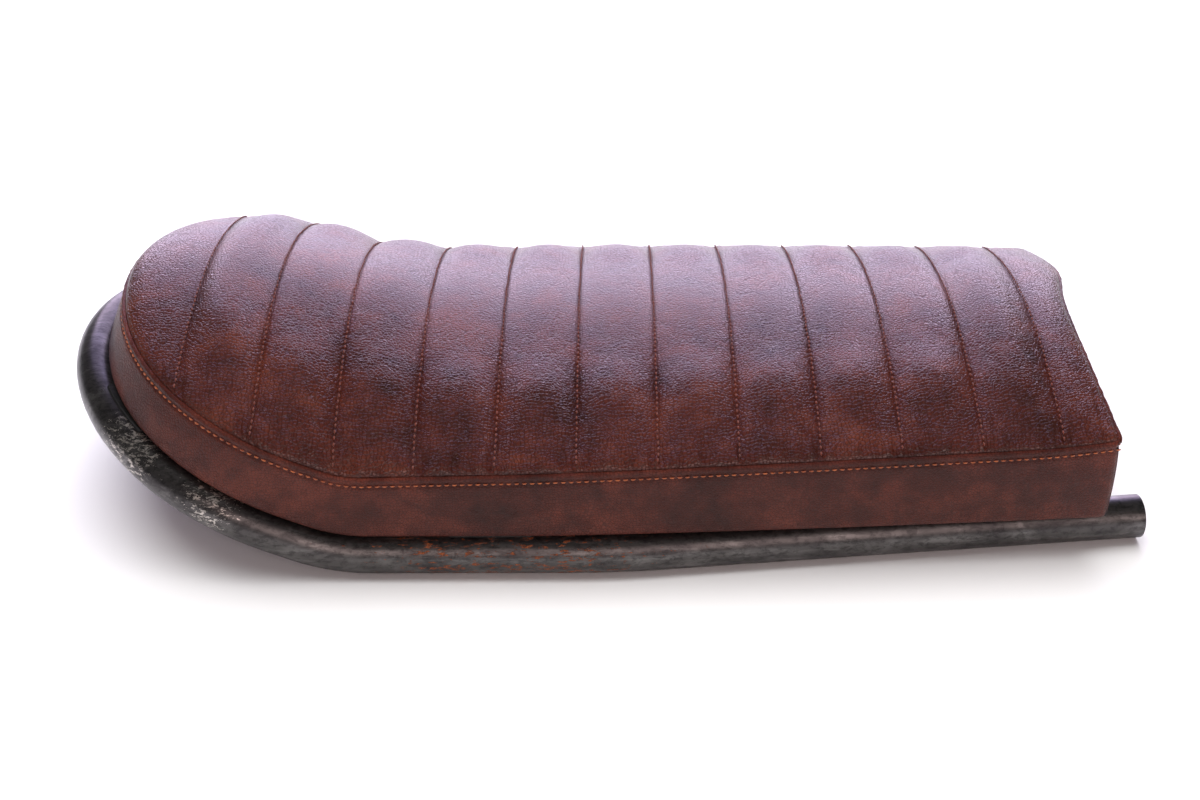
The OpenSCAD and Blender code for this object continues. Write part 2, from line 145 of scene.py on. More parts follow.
def stitch_x(i):
    """X of stitch line i, counted from the front."""
    back = STITCH_PITCH * min(i, LEVEL_LINES)
    up = STITCH_PITCH * math.cos(CROWN_ANGLE) * max(0, i - LEVEL_LINES)
    return KINK_X + SEAT_FRONT_S - FIRST_STITCH - back - up


def seam_station(x):
    """Station whose seam lies at x."""
    x = np.asarray(x, float)
    stations = np.linspace(SEAT_FRONT_S + 20, TIP_S - 5, 1200)
    seam_x = place(stations, seam_height(stations))[0]
    return np.interp(x, seam_x[::-1], stations[::-1])


# ---- Mesh helpers ----


def mesh_piece(name, points, faces):
    """A new smooth object from points in millimetres, riding on the only body."""
    mesh = bpy.data.meshes.new(name)
    mesh.from_pydata((np.asarray(points, float) * MM).tolist(), [], faces)
    mesh.validate()
    mesh.update()
    mesh.polygons.foreach_set("use_smooth", [True] * len(mesh.polygons))
    piece = bpy.data.objects.new(name, mesh)
    bpy.context.collection.objects.link(piece)
    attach(piece, "root")
    return piece


def grid_faces(rows, cols):
    """Quads over a grid whose normals are columns crossed with rows."""
    faces = []
    for r in range(rows - 1):
        for c in range(cols - 1):
            a = r * cols + c
            faces.append((a, a + 1, a + cols + 1, a + cols))
    return faces


def noise_field(points, size, seed=0.0):
    """Smooth noise from -1 to 1, in blobs about size millimetres across."""
    shift = Vector((seed, -seed, 2 * seed))
    return np.array([noise.noise(Vector(p) / size + shift) for p in points])


def noise_at(points):
    """Smooth noise from -1 to 1 at each point, in blobs about 1 across."""
    return np.array([noise.noise(Vector(p)) for p in points])


def bell(distance, width):
    """1 at no distance, falling smoothly to 0 over about twice the width."""
    return np.exp(-((distance / width) ** 2))


def thicken(piece, thickness):
    """Give a skin its thickness, inwards from its outer face."""
    shell = piece.modifiers.new("thickness", "SOLIDIFY")
    shell.thickness = thickness * MM
    shell.offset = -1.0
    shell.use_even_offset = True


# ---- Outline of the cushion, at stations and widths ----


def tail_curve(count):
    """Points round the tail from the right side to the left, evenly spaced."""
    t = np.linspace(0, math.pi, 2001)
    reach = np.abs(np.sin(t)) ** (2 / TAIL_POWER)
    side = np.sign(np.cos(t)) * np.abs(np.cos(t)) ** (2 / TAIL_POWER)
    return spaced(TAIL_S - TAIL_LENGTH * reach, -HALF_W * side, count)


def spaced(s, y, count):
    """The same line with count evenly spaced points."""
    run = np.concatenate([[0], np.cumsum(np.hypot(np.diff(s), np.diff(y)))])
    even = np.linspace(0, run[-1], count)
    return np.interp(even, run, s), np.interp(even, run, y)


def side_outline(count):
    """From the right front corner back round the tail to the left front corner."""
    ahead = np.linspace(SEAT_FRONT_S, TAIL_S, 400, endpoint=False)
    tail_s, tail_y = tail_curve(1200)
    s = np.concatenate([ahead, tail_s, ahead[::-1]])
    y = np.concatenate([-half_width(ahead), tail_y, half_width(ahead)[::-1]])
    return spaced(s, y, count)


def outward(s, y):
    """Unit normals that point out of the cushion, as stations and widths."""
    ds, dy = np.gradient(s), np.gradient(y)
    length = np.hypot(ds, dy)
    return -dy / length, ds / length


def front_edge(v):
    """Station of the front edge at share v of the width: hollow, with a fuller left half."""
    wave = FRONT_WAVE * bell(v - WAVE_AT, WAVE_WIDTH) * (1 - v ** 6)
    return SEAT_FRONT_S - FRONT_HOLLOW * (1 - v * v) + wave


def rounded(s, y):
    """Stations and widths with the two front corners rounded off."""
    ahead = s - (SEAT_FRONT_S - CORNER_R)
    aside = np.abs(y) - (FRONT_HALF_W - CORNER_R)
    inside = (ahead > 0) & (aside > 0)
    reach = np.maximum(np.hypot(ahead, aside), 1e-9)
    share = np.where(inside, np.maximum(ahead, aside) / reach, 1.0)
    round_y = np.sign(y) * (FRONT_HALF_W - CORNER_R + aside * share)
    return s - np.where(inside, ahead * (1 - share), 0), np.where(inside, round_y, y)


def seam_at(s, y):
    """Height of the seam, pulled up at the right front corner and down at the left one."""
    ahead = np.clip((s - (SEAT_FRONT_S - CORNER_RUN)) / CORNER_RUN, 0, 1)
    return seam_height(s) - CORNER_PULL * ahead ** 2 * np.clip(y / FRONT_HALF_W, -1, 0.6)


# ---- Shape of the quilted top ----

CHANNEL_ROWS = 20
CAP_ROWS = 18
COVER_COLS = 101
CAP_SPLIT = 0.2
CAP_LENGTH = 62.0
GROOVES = np.array([stitch_x(i) for i in range(STITCH_LINES)])

CHANNEL_RISE = 3.4
GROOVE_FLAT = 0.017
SHOULDER = 46.0
SIDE_FULLNESS = 1.1
FULLEST_AT = 40.0
FULLEST_WIDTH = 26.0
RIM_RISE = 1.2
SEAM_INSET = 1.2
SEAM_TUCK = 0.8
TUCK_RUN = 1.1
LEFT_GATHERS = 0.3
TOP_T = 1.2
# Rings of the turned-under rim, each as its depth under the seam and how far in it lies
TURN_UNDER = ((1.2, 0.4), (4.0, 1.4))


def channel_shares(count):
    """Shares of a channel's width, closer together beside its stitch lines."""
    t = np.linspace(0, 1, count, endpoint=False)
    return 0.5 * t + 0.5 * (0.5 - 0.5 * np.cos(math.pi * t))


def tail_cap(c):
    """Rows behind the last stitch line, which bend into the curve of the tip."""
    last = float(seam_station(GROOVES[-1]))
    s, y = tail_curve(6001)
    arc = np.column_stack([s, y])[s <= last]

    def on_arc(share):
        at = np.clip(share, 0, 1) * (len(arc) - 1)
        return arc[np.rint(at).astype(int)]

    start = np.column_stack([np.full(len(c), last), c * float(half_width(last))])
    end = on_arc(CAP_SPLIT + (1 - 2 * CAP_SPLIT) * (c + 1) / 2)
    w = ((c + 1) / 2)[:, None]
    rows = []
    for t in np.linspace(0, 1, CAP_ROWS):
        sides = (1 - w) * on_arc(CAP_SPLIT * t) + w * on_arc(1 - CAP_SPLIT * t)
        start_line = (1 - w) * start[0] + w * start[-1]
        end_line = (1 - w) * end[0] + w * end[-1]
        corners = (1 - t) * start_line + t * end_line
        rows.append((1 - t) * start + t * end + sides - corners)
    return np.array(rows)


def cover_grid():
    """Stations and widths of a grid over the top, with a row along each stitch line."""
    c = np.linspace(-1, 1, COVER_COLS)
    lines = seam_station(GROOVES)
    starts = [front_edge(c)] + [np.full(len(c), line) for line in lines]
    rows = []
    for ahead, behind in zip(starts[:-1], starts[1:]):
        for share in channel_shares(CHANNEL_ROWS):
            s = ahead + (behind - ahead) * share
            rows.append(np.column_stack([s, c * half_width(s)]))
    grid = np.concatenate([np.array(rows), tail_cap(c)])
    s, y = grid[..., 0], grid[..., 1]
    # Drawn in a little at the rim, so that the top ends in the middle of the seam
    ahead = np.clip((s - lines[0]) / (SEAT_FRONT_S - lines[0]), 0, 1)
    behind = np.clip((lines[-1] - s) / (lines[-1] - TIP_S), 0, 1)
    return s + SEAM_INSET * (behind - ahead), y * (1 - SEAM_INSET / HALF_W)


def edge_distance(s, y):
    """Distance in from the seam, in millimetres."""
    line_s, line_y = side_outline(1400)
    v = np.linspace(-1, 1, 200)
    line_s = np.concatenate([line_s, front_edge(v)])
    line_y = np.concatenate([line_y, v * FRONT_HALF_W])
    s, y = s.ravel(), y.ravel()
    found = np.empty(len(s))
    for a in range(0, len(s), 4000):
        b = a + 4000
        gap = (s[a:b, None] - line_s) ** 2 + (y[a:b, None] - line_y) ** 2
        found[a:b] = np.sqrt(gap.min(axis=1))
    return found


def channel_phase(x):
    """Index of the channel at x and how far across it x lies, from 0 to 1."""
    ends = np.concatenate([[KINK_X + SEAT_FRONT_S + 6], GROOVES, [GROOVES[-1] - CAP_LENGTH]])
    index = np.clip(np.searchsorted(-ends, -x) - 1, 0, len(ends) - 2)
    share = (ends[index] - x) / (ends[index] - ends[index + 1])
    return index, np.clip(share, 0, 1)


def smooth_cover(s, y):
    """The cover without its channels: X and Z of points at stations and widths."""
    half = np.maximum(half_width(s), 0.5)
    v = np.clip(y / half, -1, 1)
    x, z = place(s, seam_at(s, y))
    tip = np.sqrt(np.clip((s - TIP_S) / TIP_RUN, 0, 1))
    return x, z + (crown_z(x) - z) * (1 - v * v) * tip


def channel_bulge(x, edge):
    """Height of the padding above the stitch lines, which rolls down to the seam."""
    index, share = channel_phase(x)
    beside = np.clip((share * (1 - share) - GROOVE_FLAT) * 4, 0, 1)
    across = beside ** 0.7
    cap = index == STITCH_LINES
    across = np.where(cap, np.clip(2.2 * (share - GROOVE_FLAT), 0, 1) ** 0.7, across)
    inner = np.clip(edge / SHOULDER, 0, 1)
    run_out = (1 - (1 - inner) ** 1.7) ** 0.8
    full = 1 + SIDE_FULLNESS * bell(edge - FULLEST_AT, FULLEST_WIDTH)
    shoulder = RIM_RISE * (1 - np.exp(-edge / 4.0)) * np.exp(-edge / 30.0)
    tuck = SEAM_TUCK * np.exp(-np.maximum(0, edge - SEAM_INSET) / TUCK_RUN)
    return CHANNEL_RISE * full * across * run_out + shoulder - tuck


def gathers(x, y, edge):
    """Short upright wrinkles by the side seams, slighter on the left."""
    index, share = channel_phase(x)
    clear = edge - SEAM_INSET
    side = np.clip((np.abs(y) / HALF_W - 0.55) * 4, 0, 1) * np.where(y > 0, LEFT_GATHERS, 1.0)

    upright = np.column_stack([x / 3.6, edge / 30.0 + np.sign(y) * 9, index * 1.7])
    ridges = 2.2 * noise_at(upright) + 1.3 * noise_at(upright * 1.9 + (4, 1, 7))
    ridges = ridges * np.clip(clear / 2.0, 0, 1) * bell(edge, 11.0)

    # Where a stitch line runs into the seam, the leather puckers like a star
    pinch = bell(np.minimum(share, 1 - share), 0.12) * bell(edge, 7.0)
    star = 2.0 * pinch * noise_at(np.column_stack([x, y, edge]) / 2.6)

    slow = noise_at(np.column_stack([x / 13.0, y / 40.0, np.full_like(x, 5.0)]))
    wide = 1.2 * slow * np.clip(clear / 3.0, 0, 1) * bell(edge, 30.0)
    return side * (ridges + star + wide)


def cover_points(s, y, extra=0.0):
    """Outer surface of the quilted top; extra lifts it where the cloth has moved."""
    edge = edge_distance(s, y).reshape(s.shape)
    x, z = smooth_cover(s, y)
    z = z + channel_bulge(x, edge) + extra
    z = z + gathers(x.ravel(), y.ravel(), edge.ravel()).reshape(z.shape)
    round_s, round_y = rounded(s, y)
    return np.stack([x + round_s - s, round_y, z], axis=-1)


# ---- The quilted top's cloth simulation and mesh ----

CLOTH_STEPS = 20
CLOTH_CAP = 2.5
CLOTH_START = 0.8
LIFT_LOW = -0.8
LIFT_HIGH = 1.2
HELD_EDGE = 2.2
HELD_GROOVE = 0.3


def cloth_settle(points, held):
    """How far a sheet held at some points rises under pressure, as a height per point."""
    rows, cols = points.shape[:2]
    sheet = mesh_piece("cloth_trial", points.reshape(-1, 3), grid_faces(rows, cols))
    pins = sheet.vertex_groups.new(name="pins")
    for index in np.flatnonzero(held.ravel()):
        pins.add([int(index)], 1.0, "REPLACE")
    cloth = sheet.modifiers.new("cloth", "CLOTH")
    setup = cloth.settings
    setup.vertex_group_mass = "pins"
    setup.quality = 5
    setup.mass = 0.4
    setup.tension_stiffness = 40
    setup.compression_stiffness = 40
    setup.shear_stiffness = 12
    setup.bending_stiffness = 8
    setup.use_pressure = True
    setup.uniform_pressure_force = 4
    setup.effector_weights.gravity = 0
    cloth.collision_settings.use_collision = False
    scene = bpy.context.scene
    for step in range(1, CLOTH_STEPS + 1):
        scene.frame_set(step)
    settled = sheet.evaluated_get(bpy.context.evaluated_depsgraph_get())
    found = np.empty(rows * cols * 3)
    settled.data.vertices.foreach_get("co", found)
    lift = found.reshape(rows, cols, 3)[..., 2] / MM - points[..., 2]
    scene.frame_set(1)
    bpy.data.objects.remove(sheet, do_unlink=True)
    return np.clip(lift, -CLOTH_CAP, CLOTH_CAP)


def doubled(values):
    """The same grid of values with a point more between every two."""
    rows, cols = values.shape
    across = np.empty((rows, 2 * cols - 1))
    across[:, ::2] = values
    across[:, 1::2] = (values[:, 1:] + values[:, :-1]) / 2
    grid = np.empty((2 * rows - 1, 2 * cols - 1))
    grid[::2] = across
    grid[1::2] = (across[1:] + across[:-1]) / 2
    return grid


def border(grid):
    """The outermost points of a grid, once round."""
    return np.concatenate([grid[0], grid[1:-1, -1], grid[-1, ::-1], grid[-2:0:-1, 0]])


def cloth_lift(s, y):
    """How the sheet between the stitch lines settles over its padding, as heights."""
    edge = edge_distance(s, y).reshape(s.shape)
    x, z = smooth_cover(s, y)
    bulge = channel_bulge(x, edge)
    start = np.stack([x, y, z + CLOTH_START * bulge], axis=-1)
    near_groove = np.abs(x[..., None] - GROOVES).min(axis=-1) < HELD_GROOVE
    held = near_groove | (edge < HELD_EDGE)
    lift = cloth_settle(start, held) - (1 - CLOTH_START) * bulge
    return np.clip(lift, LIFT_LOW, LIFT_HIGH)


def make_top_panel():
    """The quilted top as one skin, with its rim turned under into the seam."""
    s, y = cover_grid()
    lift = cloth_lift(s, y)
    s, y, lift = doubled(s), doubled(y), doubled(lift)
    points = cover_points(s, y, lift)
    rows, cols = s.shape
    rim_s, rim_y = border(s), border(y)
    rings = []
    for depth, inset in TURN_UNDER:
        shrink = 1 - inset / HALF_W
        ring_s, ring_y = rounded(rim_s * shrink, rim_y * shrink)
        x, z = place(ring_s, seam_at(rim_s, rim_y) - depth)
        rings.append(np.stack([x, ring_y, z], -1))
    faces = grid_faces(rows, cols)
    upper = border(np.arange(rows * cols).reshape(rows, cols)).tolist()
    count = len(upper)
    for ring in range(len(TURN_UNDER)):
        first = rows * cols + ring * count
        lower = list(range(first, first + count))
        faces += [(lower[k - 1], lower[k], upper[k], upper[k - 1]) for k in range(count)]
        upper = lower
    piece = mesh_piece("top_panel_leather", np.vstack([points.reshape(-1, 3), *rings]), faces)
    thicken(piece, TOP_T)
    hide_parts("top_panel")
    return piece


# ---- Bands ----

BAND_STEPS = 620
FRONT_STEPS = 150
BAND_T = 1.5
TOP_STITCH_DROP = 4.8
HEM_LOW = 12.5
HEM_W = 22.0
HEM_R = 4.0
HEM_FOLD = 4.2
BELLY = 0.5
RIDGE_R = 1.6
RIDGE_OUT = 0.8
RIDGE_DROP = 1.8
CORNER_TUCK = 0.4
CORNER_TUCK_RUN = 0.5
PUCKER = 0.55


def band_profile(height):
    """Outer skin of a band as [out, height] from the turned-under hem to the seam."""
    points = [(-HEM_W, HEM_LOW), (-14, HEM_LOW), (-7, HEM_LOW), (-HEM_FOLD, HEM_LOW)]
    low = HEM_LOW + HEM_R
    for angle in np.radians(np.linspace(-75, 0, 6)):
        points.append((HEM_R * math.cos(angle) - HEM_R, low + HEM_R * math.sin(angle)))
    stitch_h = height - TOP_STITCH_DROP
    for t in np.linspace(0.06, 0.94, 16):
        points.append((BELLY * math.sin(math.pi * t), low + (stitch_h - low) * t))
    # Drawn in at the stitches, then rolled over the seam
    points += [(-0.25, stitch_h - 1.0), (-0.65, stitch_h), (-0.2, stitch_h + 0.9)]
    ridge_out, ridge_h = RIDGE_OUT - RIDGE_R, height - RIDGE_DROP
    for angle in np.radians(np.linspace(-35, 100, 10)):
        out = ridge_out + RIDGE_R * math.cos(angle)
        points.append((out, ridge_h + RIDGE_R * math.sin(angle)))
    points += [(-2.4, height - 1.6), (-3.0, height - 4.5)]
    return points


def mitred(out, high, run):
    """The hem cut back towards a front corner, which lies run millimetres away."""
    share = np.clip((run - HEM_FOLD) / (HEM_W - HEM_FOLD), 0.03, 1)[:, None]
    hem = (out < -HEM_FOLD) & (high <= HEM_LOW)
    return np.where(hem, -HEM_FOLD + (out + HEM_FOLD) * share, out)


def turned(s_part, y_part, y, run):
    """Normals that swing round to meet the other band's at a front corner."""
    share = np.clip(1 - run / CORNER_R, 0, 1)
    return s_part + share * (1 - s_part), y_part + share * (np.sign(y) - y_part)


def push_out(points, amount, normal_s, normal_y):
    """Move each column of a band outwards by an amount per point."""
    points[..., 0] += amount * normal_s[:, None]
    points[..., 1] += amount * normal_y[:, None]


def band_piece(name, s, y, normal_s, normal_y, height_at, run):
    """A band whose outer skin follows a line; run is the distance to the nearest front corner."""
    normal_s, normal_y = turned(normal_s, normal_y, y, run)
    rows = len(s)
    profiles = [band_profile(float(h)) for h in height_at]
    cols = len(profiles[0])
    out = np.array([[p[0] for p in profile] for profile in profiles])
    high = np.array([[p[1] for p in profile] for profile in profiles])
    out = mitred(out, high, run) - np.where(run < CORNER_TUCK_RUN, CORNER_TUCK, 0)[:, None]
    stations = s[:, None] + out * normal_s[:, None]
    widths = y[:, None] + out * normal_y[:, None]
    stations, widths = rounded(stations, widths)
    x, z = place(stations, high)
    points = np.stack([x, widths, z], -1)
    length = np.hypot(normal_s, normal_y)
    normal_s, normal_y = normal_s / length, normal_y / length
    seam = height_at[:, None]
    flat = points.reshape(-1, 3)

    # Slow unevenness between the hem and the stitches
    middle = np.clip((high - HEM_LOW - 3) / 12, 0, 1) * np.clip((seam - 8 - high) / 8, 0, 1)
    soft = noise_field(flat, 46.0, 3.0) * 0.7 + noise_field(flat, 17.0, 5.0) * 0.22
    push_out(points, soft.reshape(rows, cols) * middle, normal_s, normal_y)

    # Small puckers round the stitches and the rolled seam
    pucker = noise_field(flat * (1, 1, 1 / 3), 2.6, 9.0)
    rim = bell(high - (seam - TOP_STITCH_DROP + 1.5), 3.2)
    push_out(points, PUCKER * pucker.reshape(rows, cols) * rim, normal_s, normal_y)
    piece = mesh_piece(name, points.reshape(-1, 3), grid_faces(rows, cols))
    thicken(piece, BAND_T)
    return piece


def make_side_band():
    """The band round both sides and the tail."""
    s, y = side_outline(BAND_STEPS)
    normal_s, normal_y = outward(s, y)
    piece = band_piece("side_band_leather", s, y, normal_s, normal_y, seam_at(s, y),
                       SEAT_FRONT_S - s)
    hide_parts("side_band")
    return piece


def front_seam(s, y, v):
    """Height of the seam along the front, which follows the crown."""
    seam = seam_at(s, y)
    x, _ = place(s, seam)
    return seam + (crown_z(x) - RAIL_Z - seam) * (1 - v * v)


def make_front_band():
    """The band across the front, from the left corner to the right."""
    v = np.linspace(1, -1, FRONT_STEPS)
    y = v * FRONT_HALF_W
    s = front_edge(v)
    ahead, aside = np.ones_like(v), np.zeros_like(v)
    piece = band_piece("front_band_leather", s, y, ahead, aside, front_seam(s, y, v),
                       FRONT_HALF_W - np.abs(y))
    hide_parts("front_band")
    return piece


# ---- Stitches ----

EDGE_PITCH = 3.7
# Length and radius of a stitch
EDGE_STITCH = (2.4, 0.42)
EDGE_IN = -0.3
CHANNEL_PITCH = 3.4
CHANNEL_STITCH = (2.2, 0.46)
CHANNEL_STITCH_UP = 0.35
STITCH_SIDES = 6
STITCH_RINGS = 7
STRAY = 0.18
ROW_END = 3.2


def add_stitches(points, faces, centres, along, up, size):
    """Add short stitches, each raised in its middle, to lists of points and faces."""
    length, radius = size
    steps = np.linspace(-1, 1, STITCH_RINGS)
    for centre, t, n in zip(centres, along, up):
        side = np.cross(t, n)
        rings = []
        for u in steps:
            ring_r = radius * math.sqrt(max(0.05, 1 - abs(u) ** 3.0))
            arch = 0.72 * radius * (1 - u * u) - 0.3 * radius
            middle = centre + t * (u * length / 2) + n * arch
            rings.append([len(points) + j for j in range(STITCH_SIDES)])
            for j in range(STITCH_SIDES):
                a = 2 * math.pi * j / STITCH_SIDES
                points.append(middle + ring_r * (math.cos(a) * side + math.sin(a) * n))
        for near, far in zip(rings[:-1], rings[1:]):
            for j in range(STITCH_SIDES):
                k = (j + 1) % STITCH_SIDES
                faces.append((near[j], near[k], far[k], far[j]))
        faces.append(tuple(reversed(rings[0])))
        faces.append(tuple(rings[-1]))


def unit(v):
    """Vectors scaled to length 1."""
    return v / np.maximum(np.linalg.norm(v, axis=-1, keepdims=True), 1e-9)


def stitch_places(line, pitch):
    """Evenly spaced places along a line, and the line's direction at each."""
    run = np.concatenate([[0], np.cumsum(np.linalg.norm(np.diff(line, axis=0), axis=1))])
    count = int(run[-1] / pitch)
    at = (np.arange(count) + 0.5) * run[-1] / count
    places = np.column_stack([np.interp(at, run, line[:, k]) for k in range(3)])
    return places, unit(np.gradient(places, axis=0))


def make_channel_stitches():
    """One row of stitches along each groove, strayed a little from the line."""
    points, faces = [], []
    for groove in GROOVES:
        station = float(seam_station(groove))
        reach = float(half_width(station)) - ROW_END
        y = np.linspace(-reach, reach, 400)
        s = np.full_like(y, station)
        line = cover_points(s[None, :], y[None, :])[0]
        centres, along = stitch_places(line, CHANNEL_PITCH)
        up = unit(np.cross(np.array([1.0, 0, 0]), along))
        up = np.where(up[:, 2:3] < 0, -up, up)
        stray = np.array([[RNG.uniform(-STRAY, STRAY), 0, 0] for _ in centres])
        lifted = centres + stray + up * CHANNEL_STITCH_UP
        add_stitches(points, faces, lifted, along, up, CHANNEL_STITCH)
    piece = mesh_piece("channel_stitches", points, faces)
    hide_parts("channel_stitching")
    return piece


def side_stitch_line():
    """The line of the stitches round the sides and tail, and which way out each point faces."""
    s, y = side_outline(2400)
    normal_s, normal_y = outward(s, y)
    x, z = place(s + EDGE_IN * normal_s, seam_at(s, y) - TOP_STITCH_DROP)
    line = np.column_stack([x, y + EDGE_IN * normal_y, z])
    return line, np.column_stack([normal_s, normal_y, np.zeros_like(normal_s)])


def front_stitch_line():
    """The line of the stitches across the front."""
    v = np.linspace(-1, 1, 400)
    y = v * (FRONT_HALF_W - 3)
    s = front_edge(v)
    seam = seam_at(s, y)
    x, z = place(s + EDGE_IN, seam)
    crown = (crown_z(x) - RAIL_Z - seam) * (1 - v * v)
    return np.column_stack([x, y, z + crown - TOP_STITCH_DROP])


def make_edge_stitches():
    """The stitches just under the seam, round the sides and tail and across the front."""
    points, faces = [], []
    line, facing = side_stitch_line()
    centres, along = stitch_places(line, EDGE_PITCH)
    at, along_line = np.linspace(0, 1, len(centres)), np.linspace(0, 1, len(line))
    up = unit(np.column_stack([np.interp(at, along_line, part) for part in facing.T]))
    up = unit(up - along * (up * along).sum(axis=1, keepdims=True))
    add_stitches(points, faces, centres, along, up, EDGE_STITCH)

    centres, along = stitch_places(front_stitch_line(), EDGE_PITCH)
    up = np.tile(np.array([1.0, 0, 0]), (len(centres), 1))
    add_stitches(points, faces, centres, along, up, EDGE_STITCH)
    piece = mesh_piece("edge_stitches", points, faces)
    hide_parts("edge_stitching")
    return piece


# ---- Materials ----

# Share of painted shade laid into the gaps between the leather's pebbles
GAP_PAINTED_SHADE = 0.65
# Middles of the rusty and of the two rubbed stretches of the tube
RUST_SPOT = (-45, -118, 12)
UPPER_WEAR = (-228, -92, 63)
LOWER_WEAR = (-188, -117, 43)


class Look:
    """A material with its nodes, and short ways to add and join them."""

    def __init__(self, name):
        self.material = bpy.data.materials.new(name)
        self.material.use_nodes = True
        self.tree = self.material.node_tree
        self.shader = self.tree.nodes["Principled BSDF"]

    def add(self, kind, values=None, **settings):
        """A shader node: values go to its inputs, settings are its own properties."""
        node = self.tree.nodes.new("ShaderNode" + kind)
        for key, value in settings.items():
            setattr(node, key, value)
        for key, value in (values or {}).items():
            self.feed(node.inputs[key], value)
        return node

    def feed(self, socket, value):
        """Link a socket to another one, or set it to a hex colour or a number."""
        if isinstance(value, bpy.types.NodeSocket):
            self.tree.links.new(value, socket)
        elif isinstance(value, str):
            socket.default_value = rgba(value)
        else:
            socket.default_value = value

    def place(self, scale=1.0, stretch=(1, 1, 1)):
        """Object coordinates in millimetres, stretched and scaled."""
        coords = self.add("TexCoord").outputs["Object"]
        size = [scale * 1000 * k for k in stretch]
        return self.add("Mapping", {"Vector": coords, "Scale": size}).outputs["Vector"]

    def noise(self, size, detail=4.0, rough=0.55, distort=0.0, stretch=(1, 1, 1)):
        """Noise in blobs about size millimetres across."""
        values = {"Vector": self.place(1 / size, stretch), "Scale": 1.0, "Detail": detail,
                  "Roughness": rough, "Distortion": distort}
        return self.add("TexNoise", values).outputs["Fac"]

    def cells(self, vector, feature="F1", jitter=1.0):
        """Distance within Voronoi cells about 1 across."""
        values = {"Vector": vector, "Scale": 1.0, "Randomness": jitter}
        return self.add("TexVoronoi", values, feature=feature).outputs["Distance"]

    def near(self, point, inner, outer):
        """1 within inner millimetres of a point of the part, down to 0 at outer."""
        far = self.add("VectorMath", {0: self.place(1.0)}, operation="DISTANCE")
        self.feed(far.inputs[1], point)
        return self.span(far.outputs["Value"], inner, outer, 1.0, 0.0)

    def ramp(self, value, stops):
        """A colour that runs through hex colours at the given values."""
        node = self.add("ValToRGB", {"Fac": value})
        ramp = node.color_ramp
        while len(ramp.elements) < len(stops):
            ramp.elements.new(0.5)
        for element, (at, colour) in zip(ramp.elements, stops):
            element.position = at
            element.color = rgba(colour)
        return node.outputs["Color"]

    def span(self, value, a, b, low=0.0, high=1.0):
        """The value carried over from a..b to low..high, and held at the ends."""
        values = {"Value": value, "From Min": a, "From Max": b, "To Min": low, "To Max": high}
        return self.add("MapRange", values).outputs["Result"]

    def math(self, operation, a, b=0.0):
        """The result of a maths operation on two values."""
        node = self.add("Math", operation=operation)
        self.feed(node.inputs[0], a)
        self.feed(node.inputs[1], b)
        return node.outputs["Value"]

    def total(self, *parts):
        """The sum of values, each with its share."""
        result = None
        for value, share in parts:
            term = value if share == 1 else self.math("MULTIPLY", value, share)
            result = term if result is None else self.math("ADD", result, term)
        return result

    def mix(self, share, a, b):
        """Colour a turned into colour b by a share."""
        node = self.add("Mix", data_type="RGBA", blend_type="MIX")
        self.feed(node.inputs["Factor"], share)
        self.feed(node.inputs[6], a)
        self.feed(node.inputs[7], b)
        return node.outputs[2]

    def bump(self, height, depth):
        """A normal bent by a height from 0 to 1 that stands for depth millimetres."""
        values = {"Height": height, "Distance": depth * MM, "Strength": 1.0}
        return self.add("Bump", values).outputs["Normal"]

    def finish(self, colour, rough, normal=None, **fixed):
        """Feed the shader; fixed holds its constant inputs, with _ for a space."""
        self.feed(self.shader.inputs["Base Color"], colour)
        self.feed(self.shader.inputs["Roughness"], rough)
        if normal is not None:
            self.feed(self.shader.inputs["Normal"], normal)
        for key, value in fixed.items():
            self.shader.inputs[key.replace("_", " ")].default_value = value
        return self.material


def rgba(text):
    """Linear colour from a hex sRGB colour."""
    parts = [int(text[k:k + 2], 16) / 255 for k in (1, 3, 5)]
    linear = [p / 12.92 if p <= 0.04045 else ((p + 0.055) / 1.055) ** 2.4 for p in parts]
    return (*linear, 1.0)


def leather(name, dark, mid, light, grain, depth, gloss, shine):
    """Pebbled leather: grain and depth in millimetres, gloss the roughness, shine the coat; the gaps
    between pebbles are darkened with painted shade.
    """
    look = Look(name)
    warp = look.noise(9.0, 1.0)
    shift = look.add("CombineXYZ", {"X": warp, "Y": warp, "Z": warp}).outputs["Vector"]
    shifted = look.add("VectorMath", {0: look.place(1 / grain)}, operation="ADD")
    look.feed(shifted.inputs[1], shift)
    coords = shifted.outputs["Vector"]
    gaps = look.span(look.cells(coords, "DISTANCE_TO_EDGE", 0.8), 0.0, 0.14)
    dome = look.span(look.cells(coords, "F1", 0.8), 0.05, 0.85, 1.0, 0.3)
    pebble = look.math("MULTIPLY", gaps, look.math("POWER", dome, 0.5))
    creases = look.span(look.noise(3.2, 5.0, 0.65, 0.6), 0.36, 0.5)
    pores = look.noise(0.5, 2.0)
    normal = look.bump(look.total((pebble, 0.8), (pores, 0.06), (creases, 0.05)), depth)

    patch = look.noise(38.0, 4.0, 0.6, 0.4)
    cloud = look.noise(11.0, 4.0, 0.6)
    tone = look.total((patch, 0.65), (cloud, 0.35))
    colour = look.ramp(tone, [(0.34, dark), (0.5, mid), (0.64, light)])
    # Painted shade: the gaps between pebbles and the pebbles' flanks are turned towards the dark
    # colour
    colour = look.mix(look.span(pebble, 0.0, 0.75, GAP_PAINTED_SHADE, 0.0), colour, dark)
    worn = look.span(tone, 0.3, 0.7, gloss, gloss + 0.09)
    rough = look.total((worn, 1), (look.span(pebble, 0, 1, 0.12, 0.0), 1))
    look.feed(look.shader.inputs["Coat Normal"], normal)
    return look.finish(colour, rough, normal, Specular_IOR_Level=shine,
                       Coat_Weight=0.5 * shine, Coat_Roughness=0.22)


